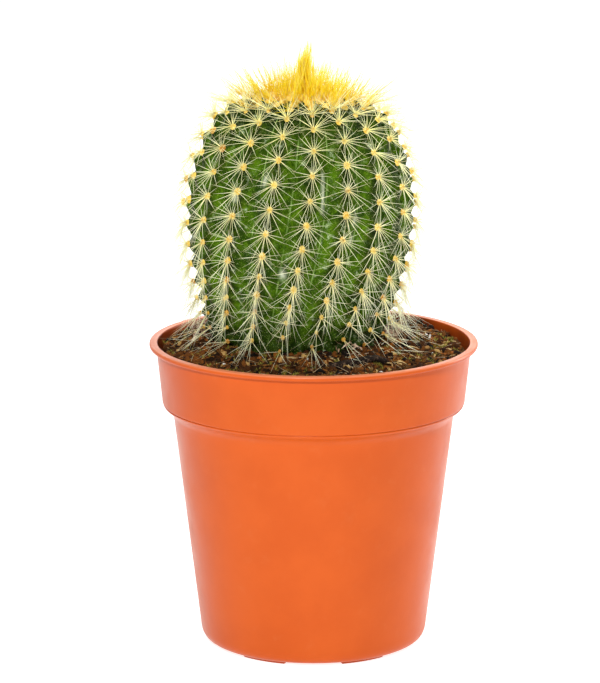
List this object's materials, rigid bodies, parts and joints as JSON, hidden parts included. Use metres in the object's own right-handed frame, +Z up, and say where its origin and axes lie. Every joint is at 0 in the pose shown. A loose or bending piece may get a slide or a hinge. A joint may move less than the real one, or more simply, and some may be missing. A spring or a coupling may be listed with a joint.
{
  "type": "potted round cactus",
  "caption": "Round ribbed cactus with starry pale needles and a golden crown, growing in dark soil in a round orange plastic nursery pot.",
  "frame": {"origin": "centre of the circle that the pot's feet stand on", "axes": "+Z up along the pot's axis, -Y towards the viewer of the picture, +X to its right"},
  "size_m": [0.12, 0.12, 0.2253],
  "materials": {
    "pot_plastic": "semi-gloss moulded plastic",
    "soil": "matte crumbly peat with fibres",
    "twig": "rough weathered",
    "cactus_skin": "waxy, finely speckled",
    "crown_needles": "dry, slightly shiny needles"
  },
  "bodies": {
    "root": {"pot": "pot_plastic", "soil": "soil", "twig": "twig", "cactus_body": "cactus_skin", "crown_tuft": "crown_needles"}
  },
  "joints": []
}
